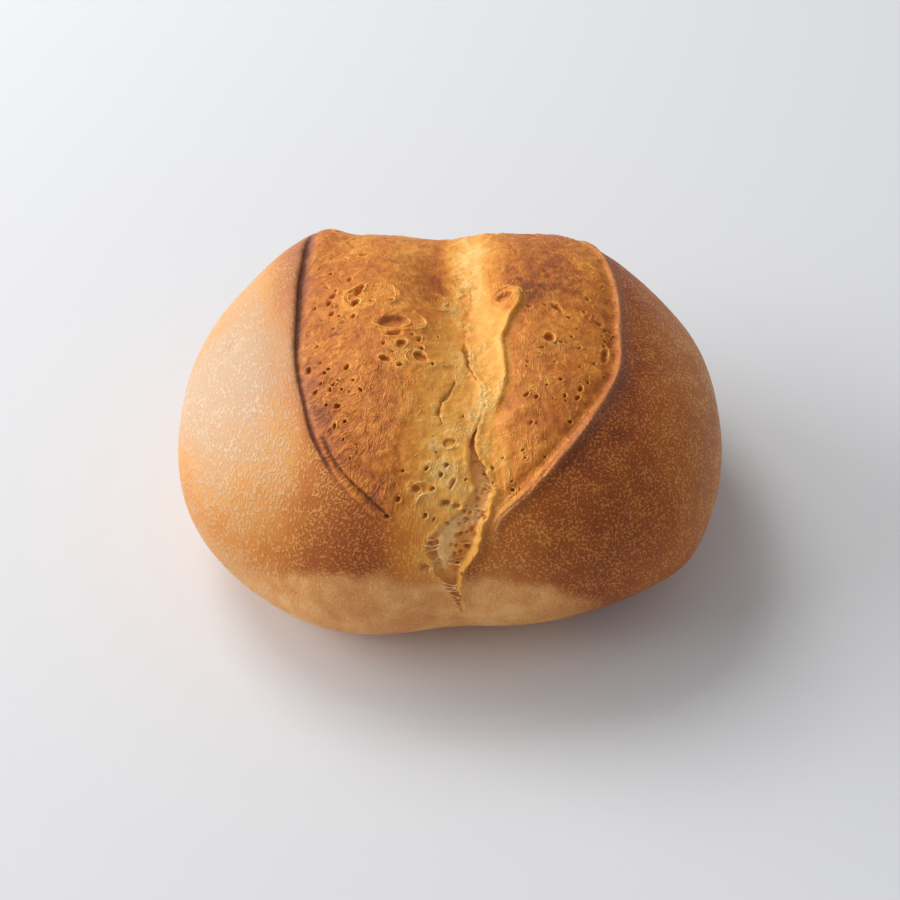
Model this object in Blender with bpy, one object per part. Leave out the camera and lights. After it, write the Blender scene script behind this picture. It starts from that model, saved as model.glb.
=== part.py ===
"""Butter bread loaf: a round hearth loaf, one solid, whose wide score has burst open from front to back.

Metres, +Z up, the front of the loaf at -Y. The origin is the middle of the flat base.
The skin is laid out as ribs: each rib runs from the loaf's left end to its right end, in a half-plane that is
hinged on a line along X at girth height. A rib's angle is 0 at the front, 90 at the top and 180 at the back, so
the score's ear, seam and ridge, which all run from front to back, are each one sideways place for every rib angle.
"""

import math

import bmesh
import bpy
import numpy as np
from mathutils import Matrix, Vector, noise

# Overall size of the loaf.
WIDTH = 0.217
DEPTH = 0.194
HEIGHT = 0.102
GIRTH_HEIGHT = 0.038

# How square the loaf is: 2 is an ellipse and more is boxier.
PLAN_POWER = 2.35
CROWN_POWER = 2.15
KEEL_POWER = 2.0
KEEL_DEPTH = 0.053  # how deep the underside would reach if the base didn't cut it flat

# Unevenness of the risen dough.
DOUGH_LUMP = 0.0010
DOUGH_LUMP_SIZE = 0.048
BLOOM_LUMP = 0.0009
BLOOM_LUMP_SIZE = 0.013
END_FADE = 0.020  # the relief dies away this close to the left and right ends
BLOOM_EDGE = 0.008  # how gently the bloom's unevenness starts beside the ear and the ridge
BLOOM_RIBS = (20, 190)
BLOOM_RIB_EDGE = 12

# Lines that run from front to back: (rib angle in degrees, place along X).
CLEFT = ((-90, 0.004), (0, 0.004), (50, 0.007), (90, 0.006), (120, 0.001), (150, -0.005), (270, 0.0))
EAR = ((-90, -0.045), (-20, -0.036), (5, -0.030), (22, -0.025), (30, -0.039), (40, -0.049), (55, -0.055),
       (100, -0.060), (125, -0.060), (150, -0.056), (166, -0.044), (182, -0.028), (205, -0.030), (270, -0.045))
SEAM = ((-90, 0.002), (0, 0.004), (12, -0.001), (18, 0.0), (28, 0.011), (40, 0.008), (54, 0.013), (70, 0.007),
        (110, 0.007), (130, 0.005), (155, 0.002), (270, 0.002))
RIDGE = ((-90, 0.045), (-20, 0.040), (5, 0.030), (22, 0.017), (30, 0.030), (40, 0.045), (60, 0.061), (90, 0.066),
         (130, 0.064), (150, 0.057), (166, 0.045), (182, 0.028), (205, 0.032), (270, 0.045))
LIP = ((48, 0.015), (60, 0.019), (82, 0.019), (98, 0.025), (114, 0.019))

# How each of those changes with the rib angle: (rib angle in degrees, metres).
CLEFT_DEPTH = ((-60, 0.0), (-25, 0.0022), (0, 0.0040), (30, 0.0058), (60, 0.0075), (105, 0.0080), (135, 0.0045),
               (155, 0.0030), (190, 0.0035), (240, 0.002))
CLEFT_WIDTH = ((-60, 0.024), (0, 0.020), (30, 0.017), (75, 0.016), (105, 0.017), (150, 0.016), (240, 0.024))
LOBE_RISE = ((-60, 0.0), (-25, 0.0004), (-5, 0.0018), (20, 0.0018), (50, 0.0005), (80, 0.0), (120, 0.0010),
             (140, 0.0018), (240, 0.002))
LOBE_AT = 0.048  # how far each lobe's crest is from the cleft
LOBE_SPREAD = 0.024
EAR_DEPTH = ((20, 0.0), (30, 0.0014), (45, 0.0022), (70, 0.0026), (95, 0.0034), (120, 0.0040), (134, 0.0030),
             (146, 0.0012), (170, 0.0010), (186, 0.0))
EAR_WIDTH = ((20, 0.0015), (45, 0.0028), (90, 0.0036), (112, 0.0062), (150, 0.0070), (186, 0.003))
EAR_EDGE = 0.0009  # how far behind the crust's edge the groove is deepest
EAR_LIP = 0.35  # how high the crust's edge stands, as a share of the groove's depth
EAR_LIP_WIDTH = 0.0045
RIDGE_RISE = ((16, 0.0), (26, 0.0014), (42, 0.0023), (70, 0.0018), (130, 0.0013), (170, 0.0010), (190, 0.0))
RIDGE_WIDTH = ((16, 0.0030), (42, 0.0032), (65, 0.0024), (100, 0.0018), (190, 0.0018))
RIDGE_HOLLOWS = ((0.006, 0.4), (-0.007, 0.3))  # (place beside the ridge, share of its rise)
RIDGE_HOLLOW_WIDTH = 0.004
LIP_RISE = ((46, 0.0), (54, 0.0012), (70, 0.0019), (100, 0.0020), (114, 0.0))
LIP_WIDTH = 0.0024
SEAM_DEPTH = ((-9, 0.0), (0, 0.0015), (10, 0.0045), (18, 0.0050), (24, 0.0022), (31, 0.0045), (46, 0.0020),
              (66, 0.0016), (74, 0.0025), (80, 0.0012), (186, 0.0010), (196, 0.0))
SEAM_HALF_WIDTH = ((-9, 0.0006), (0, 0.0010), (8, 0.0025), (18, 0.0090), (27, 0.0040), (40, 0.0016), (66, 0.0009),
                   (76, 0.0016), (95, 0.0026), (165, 0.0030), (196, 0.0010))
SEAM_FLOOR = 0.5  # the flat part of the seam, in half widths
SEAM_WALL = 0.65  # the wall outside it, in half widths
FLAP_RISE = ((-2, 0.0), (4, 0.0012), (12, 0.0024), (20, 0.0022), (27, 0.0006), (31, 0.0))
FLAP_AT = 0.0025  # how far the flap's crest is from the seam's edge
FLAP_WIDTH = 0.0035

# Where the dough rose more or less than evenly: (x, its spread, rib angle, its spread in degrees, rise).
SWELLS = (
    (-0.064, 0.017, 143, 26, 0.0060),
    (-0.051, 0.008, 148, 17, 0.0030),
    (0.050, 0.026, -25, 38, -0.0045),
    (0.094, 0.017, 4, 42, 0.0050),
    (0.095, 0.012, 125, 30, -0.0018),
    (0.061, 0.015, 140, 22, 0.0026),
    (0.046, 0.010, 148, 18, 0.0014),
    (-0.055, 0.026, -22, 30, 0.0016),
)

# The large open bubbles: (x, rib angle, length, width, turn from X in degrees, depth).
BUBBLES = (
    (-0.022, 85, 0.0125, 0.0075, 5, 0.0036),
    (-0.035, 103, 0.0070, 0.0035, 60, 0.0030),
    (-0.036, 96, 0.0050, 0.0040, 75, 0.0030),
    (-0.030, 96, 0.0030, 0.0025, 0, 0.0022),
    (-0.011, 69, 0.0060, 0.0045, 145, 0.0026),
    (-0.018, 74, 0.0040, 0.0035, 20, 0.0022),
    (-0.024, 68, 0.0050, 0.0030, 160, 0.0022),
    (-0.034, 126, 0.0045, 0.0030, 15, 0.0022),
    (0.021, 104, 0.0090, 0.0055, 12, 0.0026),
    (0.037, 79, 0.0050, 0.0045, 45, 0.0026),
    (0.041, 95, 0.0060, 0.0030, 130, 0.0026),
    (0.058, 74, 0.0034, 0.0080, 10, 0.0028),
    (-0.002, 55, 0.0020, 0.0110, 158, 0.0024),
)

# The lattice of the solid: rib angles closer together where the seam is torn.
RIBS = (*range(-90, -12, 6), *np.arange(-9, 114, 2.75), *range(118, 198, 4), *range(204, 270, 6))
CRUST_COLUMNS = 11
BLOOM_COLUMNS = 6
EAR_OFFSETS = (-0.0070, -0.0035, -0.0013, 0.0, 0.0012, 0.0036, 0.0085)
SEAM_OFFSETS = (0.55, 1.15)  # in half widths of the seam
SEAM_SHOULDER = (0.0025, 0.0065)  # beyond the seam's edge
RIDGE_OFFSETS = (-0.0050, -0.0022, 0.0, 0.0022, 0.0050)
FULL_GAP = 0.050  # where the lines are this far apart, the offsets have their full size

REACH_STEPS = 36  # halvings that find the skin
SHARP_ANGLE = 50  # degrees
CRUST_COLOUR = (0.60, 0.33, 0.13, 1.0)


def through(points, at):
    """A smooth curve through (place, value) points, read at these places: cubic, with flat ends outside them."""
    places = np.array([p[0] for p in points], float)
    values = np.array([p[1] for p in points], float)
    at = np.clip(at, places[0], places[-1])
    slopes = np.gradient(values, places)
    i = np.clip(np.searchsorted(places, at) - 1, 0, len(places) - 2)
    span = places[i + 1] - places[i]
    t = (at - places[i]) / span
    rise = (2 * t**3 - 3 * t**2 + 1) * values[i] + (3 * t**2 - 2 * t**3) * values[i + 1]
    return rise + span * ((t**3 - 2 * t**2 + t) * slopes[i] + (t**3 - t**2) * slopes[i + 1])


def bell(offset, width):
    return np.exp(-((offset / width) ** 2))


def ease(t):
    """0 below 0, 1 above 1, and smooth between."""
    t = np.clip(t, 0.0, 1.0)
    return t * t * (3 - 2 * t)


def rounded_solid_level(x, y, height):
    """Below 1 inside the plain risen dough and 1 on its skin. height is counted from the girth."""
    plan = (np.abs(x / (WIDTH / 2)) ** PLAN_POWER + np.abs(y / (DEPTH / 2)) ** PLAN_POWER) ** (1 / PLAN_POWER)
    crown = (plan**CROWN_POWER + np.abs(height / (HEIGHT - GIRTH_HEIGHT)) ** CROWN_POWER) ** (1 / CROWN_POWER)
    keel = (plan**KEEL_POWER + np.abs(height / KEEL_DEPTH) ** KEEL_POWER) ** (1 / KEEL_POWER)
    return np.where(height > 0, crown, keel)


def plain_reach(x, rib):
    """How far the plain dough reaches from the hinge line, at these places along X and rib angles in radians."""
    near = np.zeros_like(x)
    far = np.full_like(x, DEPTH)
    for _ in range(REACH_STEPS):
        middle = (near + far) / 2
        inside = rounded_solid_level(x, -middle * np.cos(rib), middle * np.sin(rib)) < 1
        near = np.where(inside, middle, near)
        far = np.where(inside, far, middle)
    return near


def relief(x, degrees):
    """How far the skin stands out from the plain dough, along the rib's own direction."""
    from_cleft = x - through(CLEFT, degrees)
    from_seam = x - through(SEAM, degrees)
    from_ear = x - through(EAR, degrees)
    from_ridge = x - through(RIDGE, degrees)

    rise = -through(CLEFT_DEPTH, degrees) * bell(from_cleft, through(CLEFT_WIDTH, degrees))
    rise += through(LOBE_RISE, degrees) * bell(np.abs(from_cleft) - LOBE_AT, LOBE_SPREAD)
    for at, spread, rib, rib_spread, height in SWELLS:
        rise += height * bell(x - at, spread) * bell(degrees - rib, rib_spread)

    # The ear: the left crust ends in an edge, with a groove behind it that climbs back to the bloom.
    climb = ease((from_ear - EAR_EDGE) / through(EAR_WIDTH, degrees))
    groove = np.where(from_ear < EAR_EDGE, from_ear / EAR_EDGE, 1 - climb)
    ear_depth = through(EAR_DEPTH, degrees)
    rise -= ear_depth * np.maximum(groove, 0)
    rise += EAR_LIP * ear_depth * np.where(from_ear < 0, bell(from_ear, EAR_LIP_WIDTH), 0.0)

    # The ridge: the right crust ends in a raised strand, a little hollow on either side.
    strand = bell(from_ridge, through(RIDGE_WIDTH, degrees))
    hollows = sum(share * bell(from_ridge - at, RIDGE_HOLLOW_WIDTH) for at, share in RIDGE_HOLLOWS)
    rise += through(RIDGE_RISE, degrees) * (strand - hollows)

    # The lip: a rolled fold of crumb to the right of the seam.
    rise += through(LIP_RISE, degrees) * bell(x - through(LIP, degrees), LIP_WIDTH)

    # The seam itself, torn open at the front, with the right crust's flap standing over it.
    half_width = through(SEAM_HALF_WIDTH, degrees)
    wall = ease((np.abs(from_seam) / half_width - SEAM_FLOOR) / SEAM_WALL)
    rise -= through(SEAM_DEPTH, degrees) * (1 - wall)
    rise += through(FLAP_RISE, degrees) * bell(from_seam - half_width - FLAP_AT, FLAP_WIDTH)
    return rise


def in_bloom(x, degrees):
    """1 on the torn bloom between ear and ridge, 0 on the crust."""
    from_ear = x - through(EAR, degrees)
    to_ridge = through(RIDGE, degrees) - x
    first, last = BLOOM_RIBS
    inside = ease(from_ear / BLOOM_EDGE) * ease(to_ridge / BLOOM_EDGE)
    return inside * ease((degrees - first) / BLOOM_RIB_EDGE) * ease((last - degrees) / BLOOM_RIB_EDGE)


def lumps(points, size):
    return np.array([noise.noise(Vector(p) / size) for p in points.reshape(-1, 3)]).reshape(points.shape[:-1])


def skin(x, degrees):
    """Points of the loaf's skin, from places along X and rib angles in degrees."""
    rib = np.radians(degrees)
    across = np.stack([np.zeros_like(rib), -np.cos(rib), np.sin(rib)], axis=-1)
    plain = plain_reach(x, rib)[..., None] * across
    plain[..., 0] = x
    plain[..., 2] += GIRTH_HEIGHT
    end_fade = ease((WIDTH / 2 - np.abs(x)) / END_FADE)
    rise = relief(x, degrees) * end_fade
    rise += DOUGH_LUMP * lumps(plain, DOUGH_LUMP_SIZE) * end_fade
    rise += BLOOM_LUMP * lumps(plain, BLOOM_LUMP_SIZE) * in_bloom(x, degrees)
    return plain + rise[..., None] * across


def column_places(degrees):
    """Places along X of one rib's lattice points, between the two ends, with columns on the ear, seam and ridge."""
    ear, seam, ridge = (float(through(line, degrees)) for line in (EAR, SEAM, RIDGE))
    half_width = float(through(SEAM_HALF_WIDTH, degrees))
    left = ear + min(1.0, (seam - ear) / FULL_GAP) * np.array(EAR_OFFSETS)
    shoulder = half_width * SEAM_OFFSETS[-1] + min(1.0, (ridge - ear) / (2 * FULL_GAP)) * np.array(SEAM_SHOULDER)
    right_of_seam = np.concatenate([half_width * np.array(SEAM_OFFSETS), shoulder])
    middle = seam + np.concatenate([-right_of_seam[::-1], [0.0], right_of_seam])
    right = ridge + min(1.0, (ridge - seam) / FULL_GAP) * np.array(RIDGE_OFFSETS)
    out = np.sin(np.linspace(0, 1, CRUST_COLUMNS + 2)[1:-1] * math.pi / 2)
    inner = np.linspace(0, 1, BLOOM_COLUMNS + 2)[1:-1]
    return np.concatenate([
        left[0] + (-WIDTH / 2 - left[0]) * out[::-1],
        left,
        left[-1] + (middle[0] - left[-1]) * inner,
        middle,
        middle[-1] + (right[0] - middle[-1]) * inner,
        right,
        right[-1] + (WIDTH / 2 - right[-1]) * out,
    ])


def loaf_body():
    """The whole loaf as one closed mesh: ribs joined round the hinge line, then cut flat at the base."""
    places = np.array([column_places(angle) for angle in RIBS])
    points = skin(places, np.repeat(np.array(RIBS, float)[:, None], places.shape[1], axis=1))
    bm = bmesh.new()
    ribs = [[bm.verts.new(point) for point in rib] for rib in points]
    left_end = bm.verts.new((-WIDTH / 2, 0, GIRTH_HEIGHT))
    right_end = bm.verts.new((WIDTH / 2, 0, GIRTH_HEIGHT))
    for rib, after in zip(ribs, ribs[1:] + ribs[:1]):
        for i in range(len(rib) - 1):
            bm.faces.new((rib[i], rib[i + 1], after[i + 1], after[i]))
        bm.faces.new((left_end, rib[0], after[0]))
        bm.faces.new((right_end, after[-1], rib[-1]))
    cut = bmesh.ops.bisect_plane(
        bm, geom=bm.verts[:] + bm.edges[:] + bm.faces[:], plane_co=(0, 0, 0), plane_no=(0, 0, -1), clear_outer=True)
    rim = [item for item in cut["geom_cut"] if isinstance(item, bmesh.types.BMEdge)]
    bmesh.ops.contextual_create(bm, geom=rim)
    bmesh.ops.recalc_face_normals(bm, faces=bm.faces[:])
    mesh = bpy.data.meshes.new("loaf")
    bm.to_mesh(mesh)
    bm.free()
    return mesh


def bubble_cutter(number, x, degrees, length, width, turn, depth):
    """An egg-shaped cutter that opens one large bubble in the bloom, half sunk in the skin."""
    spot, along, back = (Vector(skin(np.array([x + dx]), np.array([degrees + turned]))[0])
                         for dx, turned in ((0, 0.0), (0.001, 0.0), (0, 1.0)))
    sideways = (along - spot).normalized()
    outwards = sideways.cross((back - spot).normalized())
    upright = Matrix((sideways, outwards.cross(sideways), outwards)).transposed().to_4x4()
    bm = bmesh.new()
    bmesh.ops.create_icosphere(bm, subdivisions=2, radius=1.0)
    shape = Matrix.Diagonal((length / 2, width / 2, depth, 1.0))
    place = Matrix.Translation(spot) @ upright @ Matrix.Rotation(math.radians(turn), 4, "Z") @ shape
    bm.transform(place)
    mesh = bpy.data.meshes.new(f"bubble_{number}")
    bm.to_mesh(mesh)
    bm.free()
    cutter = bpy.data.objects.new(mesh.name, mesh)
    cutter.hide_render = True
    cutter.display_type = "WIRE"
    return cutter


def crust_material():
    material = bpy.data.materials.new("crust")
    material.use_nodes = True
    shader = material.node_tree.nodes["Principled BSDF"]
    shader.inputs["Base Color"].default_value = CRUST_COLOUR
    shader.inputs["Roughness"].default_value = 0.6
    shader.inputs["Metallic"].default_value = 0.0
    material.diffuse_color = CRUST_COLOUR
    return material


def main():
    for obj in list(bpy.data.objects):
        bpy.data.objects.remove(obj)
    loaf = bpy.data.objects.new("loaf", loaf_body())
    bpy.context.scene.collection.objects.link(loaf)
    loaf.data.materials.append(crust_material())
    low, high = Vector(loaf.bound_box[0]), Vector(loaf.bound_box[6])
    centring = Vector((-(low.x + high.x) / 2, -(low.y + high.y) / 2, -low.z))
    loaf.location = centring

    cutters = bpy.data.collections.new("bubble_cutters")
    bpy.context.scene.collection.children.link(cutters)
    cutters.hide_render = True
    for number, bubble in enumerate(BUBBLES):
        cutter = bubble_cutter(number, *bubble)
        cutter.location = centring
        cutters.objects.link(cutter)
    opened = loaf.modifiers.new("open_bubbles", "BOOLEAN")
    opened.operation = "DIFFERENCE"
    opened.operand_type = "COLLECTION"
    opened.collection = cutters
    opened.solver = "EXACT"
    loaf.data.shade_smooth()
    loaf.data.set_sharp_from_angle(angle=math.radians(SHARP_ANGLE))


main()
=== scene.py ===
"""Looks of a butter bread loaf: its crust, the bloom that burst out of the score, and the torn seam.

The skin is laid out as ribs, as the frame's solid is. Each rib runs from the left end to the right end, in
a half-plane hinged on a line along X at girth height. A rib's angle is 0 at the front, 90 at the top and
180 at the back. Lengths are millimetres until the mesh is made, and angles are degrees.
"""

import functools
import math

import bmesh
import bpy
import numpy as np
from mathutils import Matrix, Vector, noise
from mathutils.bvhtree import BVHTree


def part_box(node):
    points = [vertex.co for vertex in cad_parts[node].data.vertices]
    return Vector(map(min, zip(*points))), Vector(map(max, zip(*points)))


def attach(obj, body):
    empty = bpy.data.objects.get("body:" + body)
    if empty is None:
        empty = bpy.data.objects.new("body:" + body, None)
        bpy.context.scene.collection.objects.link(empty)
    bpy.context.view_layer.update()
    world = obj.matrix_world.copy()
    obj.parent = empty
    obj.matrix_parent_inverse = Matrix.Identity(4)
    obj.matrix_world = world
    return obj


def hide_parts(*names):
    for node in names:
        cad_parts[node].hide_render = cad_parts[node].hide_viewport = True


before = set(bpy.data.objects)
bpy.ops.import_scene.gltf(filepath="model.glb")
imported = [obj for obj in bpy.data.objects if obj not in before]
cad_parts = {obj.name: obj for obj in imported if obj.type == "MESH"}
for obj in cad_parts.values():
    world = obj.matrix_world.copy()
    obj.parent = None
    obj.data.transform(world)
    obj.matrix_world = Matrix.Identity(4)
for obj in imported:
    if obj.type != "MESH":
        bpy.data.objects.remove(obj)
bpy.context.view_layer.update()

MM = 0.001
SEED = 7

# Overall size of the loaf.
LOW, HIGH = (np.array(corner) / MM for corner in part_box("loaf"))
WIDTH = HIGH[0] - LOW[0]
DEPTH = 194.0
HEIGHT = 102.0
GIRTH_HEIGHT = 38.0

# How square the loaf is: 2 is an ellipse and more is boxier.
PLAN_POWER = 2.35
CROWN_POWER = 2.15
KEEL_POWER = 2.0
KEEL_DEPTH = 53.0
# How far the skin is from the hinge: (rib angle, distance).
REACH = ((-90, 48), (-45, 72), (0, 95), (45, 88), (90, 62), (135, 88), (180, 95), (225, 72), (270, 48))

# Lines that run from front to back: (rib angle, place along X).
CLEFT = ((-90, 4), (0, 4), (50, 7), (90, 6), (120, 1), (150, -5), (270, 0))
EAR = ((-90, -45), (-20, -36), (5, -30), (22, -25), (30, -39), (40, -49), (55, -55), (100, -60),
       (125, -60), (150, -56), (166, -44), (182, -28), (205, -30), (270, -45))
FOLD = ((24, -22), (28, -29), (32, -36), (36, -41), (43, -46))
SEAM = ((-90, 2), (0, 4), (12, -1), (18, 0), (28, 11), (40, 8), (54, 13), (70, 7), (110, 7), (130, 5),
        (155, 2), (270, 2))
RIDGE = ((-90, 45), (-20, 40), (5, 30), (22, 17), (30, 29), (40, 43), (60, 60), (90, 65), (130, 63),
         (150, 56), (166, 45), (182, 28), (205, 32), (270, 45))
LIP = ((48, 14), (60, 20), (82, 20), (92, 23.5), (101, 27), (110, 19))
SIDE_CRACK = ((44, -2), (51, -4), (55, -1), (61, 2))
# The top of the pale lower band: (place along X, rib angle).
BAND_TOP = ((-90, -6), (-66, 4), (-32, 11), (-7, 7.5), (30, 8), (58, -3))

# Depths, heights and widths of those forms: (rib angle, millimetres).
CLEFT_DEPTH = ((-60, 0), (-25, 2.2), (0, 4.0), (30, 5.8), (60, 7.5), (105, 8.0), (135, 4.5), (155, 3.0),
               (190, 3.5), (240, 2))
CLEFT_WIDTH = ((-60, 24), (0, 20), (30, 17), (75, 16), (105, 17), (150, 16), (240, 24))
LOBE_RISE = ((-60, 0), (-25, 0.4), (-5, 1.8), (20, 1.8), (50, 0.5), (80, 0), (120, 1), (140, 1.8),
             (240, 2))
LOBE_AT = 48.0
LOBE_SPREAD = 24.0
EAR_DEPTH = ((24, 0), (30, 0.7), (36, 1.5), (45, 2.0), (70, 2.4), (95, 2.9), (120, 3.2), (134, 2.6),
             (146, 1.0), (170, 0.8), (186, 0))
EAR_WIDTH = ((20, 1.5), (45, 2.2), (70, 3.4), (84, 4.4), (100, 5.6), (130, 6.2), (150, 5.0), (186, 3))
FOLD_DEPTH = ((22.5, 0), (24.5, 1.2), (28, 1.3), (36, 1.2), (42, 0.8), (48, 0))
RIDGE_RISE = ((16, 0), (26, 1.4), (42, 2.3), (70, 1.9), (130, 1.4), (170, 1.0), (190, 0))
RIDGE_WIDTH = ((16, 2.2), (42, 1.7), (65, 1.2), (100, 1.0), (190, 1.0))
LIP_RISE = ((46, 0), (54, 0.9), (70, 1.5), (98, 1.8), (106, 1.6), (113, 0))
SEAM_DEPTH = ((-5, 0), (0, 1.5), (7, 4), (12, 3.5), (20, 2.5), (24, 1.5), (29, 4), (35, 4), (46, 1.8),
              (68, 1.6), (74, 2.4), (79, 0.8), (186, 0.8), (196, 0))
SEAM_HALF_WIDTH = ((-40, 1), (-6, 0.5), (0, 0.8), (8, 2.5), (12, 5), (18, 9), (22, 7), (27, 4), (33, 3.3),
                   (40, 1.4), (70, 1), (74, 1.6), (79, 1), (95, 2), (165, 3), (196, 1))
SEAM_WANDER = ((-6, 0), (0, 0.5), (30, 0.8), (45, 1), (74, 1), (79, 0.1), (190, 0))
FLAP_RISE = ((-2, 0), (4, 0.8), (12, 1.6), (20, 1.6), (31, 0))
FLAP_WIDTH = 1.2

# Where the dough rose more or less than evenly: (x, its spread, rib angle, its spread, rise).
SWELLS = ((-64, 17, 143, 26, 6.0), (-51, 8, 148, 17, 3.0), (50, 26, -25, 38, -4.5), (94, 17, 4, 42, 5.0),
          (95, 12, 125, 30, -1.8), (61, 15, 140, 22, 2.6), (46, 10, 148, 18, 1.4),
          (-55, 26, -22, 30, 1.6), (4, 9, 40, 17, 2.6), (2, 14, 17, 12, 1.8))
DENTS = ((-84, 2.4, 97, 6, -1.3), (92, 1.6, 40, 2.4, -1.0))
# The pocket: mounds on its floor, laid out as the swells are, and a recess under its left wall, with the rib
# angle of its middle and its spread.
CRUMB_MOUNDS = ((-3, 3, 16, 5, 3.4), (2, 2, 18, 3, 1.2), (1.5, 1.5, 9, 1.2, 1.8))
RECESS_DEPTH = 2.2
RECESS_RIBS = (15, 5.5)
# Relief fades out over this distance from the left and right ends.
END_FADE = 20.0

# The large open bubbles: (x, rib angle, length, width, turn from X, depth).
BUBBLES = (
    (-22, 85, 12.5, 7.5, 5, 1.8), (-35, 104, 7, 3.5, 60, 2.2), (-36, 97, 5, 4, 75, 2.4),
    (-30, 97, 3, 2.5, 0, 1.8), (-22, 96, 2.5, 2, 90, 1.2), (-21, 79, 7, 2.4, 5, 1.0),
    (-18, 74, 4.5, 4, 20, 1.2), (-11, 69, 6, 4.5, 145, 1.4), (-24, 68, 5, 3, 160, 1.4),
    (-34, 126, 4.5, 3, 15, 2.0), (-50, 145, 4, 2.5, 5, 1.6), (21, 102, 7, 4.5, 12, 1.2),
    (37, 79, 5, 4.5, 45, 1.8), (41, 95, 6, 3, 130, 1.8), (58, 74, 8, 3.2, 80, 1.8),
    (0, 41, 5, 3.5, 15, 0.8), (1, 31, 5, 2, 68, 1.1), (-12, 30, 3.5, 2.5, 0, 1.0),
    (-22.5, 24, 2.6, 1.6, -10, 1.9),
)
# Where small bubbles lie close together: (x, its spread, rib angle, its spread, how many, mean size, turn
# from X).
BUBBLE_PATCHES = (
    (-42, 7, 136, 8, 6, 2.0, 10), (-43, 6, 100, 8, 14, 2.2, 80), (-48, 5, 78, 12, 8, 1.4, 80),
    (-14, 5, 73, 5, 9, 2.2, 70), (-45, 4, 58, 5, 8, 2.0, 60), (-37, 4, 46, 7, 9, 1.5, 90),
    (-8, 6, 31, 4, 10, 2.0, 40), (58, 3, 114, 10, 9, 1.6, 60), (42, 9, 118, 8, 5, 1.6, -20),
    (48, 7, 93, 6, 9, 1.8, -30), (59, 3, 76, 8, 8, 1.6, 80), (40, 7, 73, 5, 9, 1.5, 20),
    (46, 7, 57, 6, 13, 1.7, 60), (29, 7, 38, 7, 11, 1.5, 40), (-4, 12, 52, 8, 5, 1.2, 60),
    (10, 2, 24, 2, 5, 1.6, 0),
)
# The open crumb inside the seam: (x, its spread, rib angle, its spread, how many, mean size, turn from X).
CRUMB_PATCHES = (
    (4, 2.5, 22, 2.5, 10, 2.2, 5), (3, 1.5, 16, 2.5, 7, 2.0, 20), (-6, 1.2, 15, 2.5, 4, 2.2, 0),
    (11, 2.5, 31, 3, 7, 1.6, 5), (3.3, 0.5, 3, 1.2, 4, 1.2, 30),
)
# Thin raised folds that ring a sunken place: (x, rib angle, length, width, turn, height, the bearing where
# the fold is highest).
RINGS = (
    (-31, 100, 20, 15, 0, 0.6, 170), (-31, 99, 16, 12, 0, 0.5, 180), (-29, 100, 18, 14, 0, 0.6, 5),
    (-6, 102, 15, 12, 0, 0.4, -20), (-6, 102, 10, 8, 0, 0.4, -20), (21, 102, 13, 10, 12, 0.6, 30),
    (-18, 86, 17, 13, 0, 0.5, -30), (-12, 69, 9, 8, 0, 0.4, 200), (-11, 30, 7, 5, 0, 0.5, 120),
    (-9, 27, 7, 5, 20, 0.4, 90),
)

# How brown each part is baked, from 0, pale, to 1, dark, along X. The left side changes by rib angle too.
LEFT_BAKE = ((-108, 0.04), (-85, 0.04), (-70, 0.10), (-60, 0.20), (-52, 0.34), (-40, 0.50), (-24, 0.54))
LEFT_BAKE_BY_RIB = ((-10, 0.26), (12, 0.34), (24, 0.26), (40, 0.10), (62, 0), (104, 0), (122, 0.14),
                    (160, 0.24))
RIGHT_BAKE = ((8, 0.56), (16, 0.62), (30, 0.72), (56, 0.88), (70, 0.82), (84, 0.70), (108, 0.54))
BLOOM_BAKE = ((-62, 0.78), (-50, 0.70), (-38, 0.64), (-24, 0.64), (-14, 0.44), (-4, 0.26), (3, 0.22),
              (18, 0.26), (24, 0.42), (32, 0.56), (44, 0.62), (66, 0.72))

# The lattice: stations run from the left end to the right end, with knots at the ends, the ear, the seam's
# two edges and the ridge.
KNOT_STATIONS = (0.0, 60.0, 120.0, 126.0, 180.0, 240.0)
STATIONS = (*range(0, 120, 8), 120, 123, 126, *range(134, 232, 8), 240)
RIB_STEP = 5.0
ROUNDS_OF_CUTS = 10
# The longest mesh edge in each part.
EDGE_UNDERNEATH = 14.0
EDGE_BACK = 4.8
EDGE_FRONT = 2.3
EDGE_BLOOM = 1.3
EDGE_LINES = 1.0
EDGE_PORES = 0.74
EDGE_SEAM = 0.62

# Where strands of gluten still join the torn walls: (first and last rib angle, how many, where they start
# and end across the seam, from 0 at its left edge to 1 at its right edge).
STRAND_PATCHES = ((9, 19, 9, 0.0, 0.24), (6, 9, 4, 0.0, 1.0), (2, 5, 3, 0.0, 1.0), (20, 26, 6, 0.2, 0.9),
                  (27, 34, 4, 0.7, 1.0), (12, 18, 4, 0.5, 0.9), (43, 58, 4, 0.0, 1.0))
STRAND_POINTS = 9
STRAND_RADIUS = (0.10, 0.24)
# Light rims round the bubbles, and loose webs between them.
RIM_RADIUS = (0.26, 0.46)
RING_RADIUS = 0.40
RIM_STEP = 0.5
LOOSE_WEBS = 150
# How far outside the skin a line is held before it is dropped onto it.
DROP = 6
# A bubble wider than this has a whole rim and a light floor.
LARGE_BUBBLE = 3.4


@functools.lru_cache(maxsize=None)
def sampled(points):
    """A smooth cubic curve through (place, value) points, as close samples."""
    places = np.array([p[0] for p in points], float)
    values = np.array([p[1] for p in points], float)
    at = np.linspace(places[0], places[-1], 1500)
    slopes = np.gradient(values, places)
    i = np.clip(np.searchsorted(places, at) - 1, 0, len(places) - 2)
    span = places[i + 1] - places[i]
    t = (at - places[i]) / span
    rise = (2 * t**3 - 3 * t**2 + 1) * values[i] + (3 * t**2 - 2 * t**3) * values[i + 1]
    return at, rise + span * ((t**3 - 2 * t**2 + t) * slopes[i] + (t**3 - t**2) * slopes[i + 1])


def through(points, at):
    """The value of the curve through these points at each place, held level beyond its ends."""
    return np.interp(at, *sampled(points))


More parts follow.
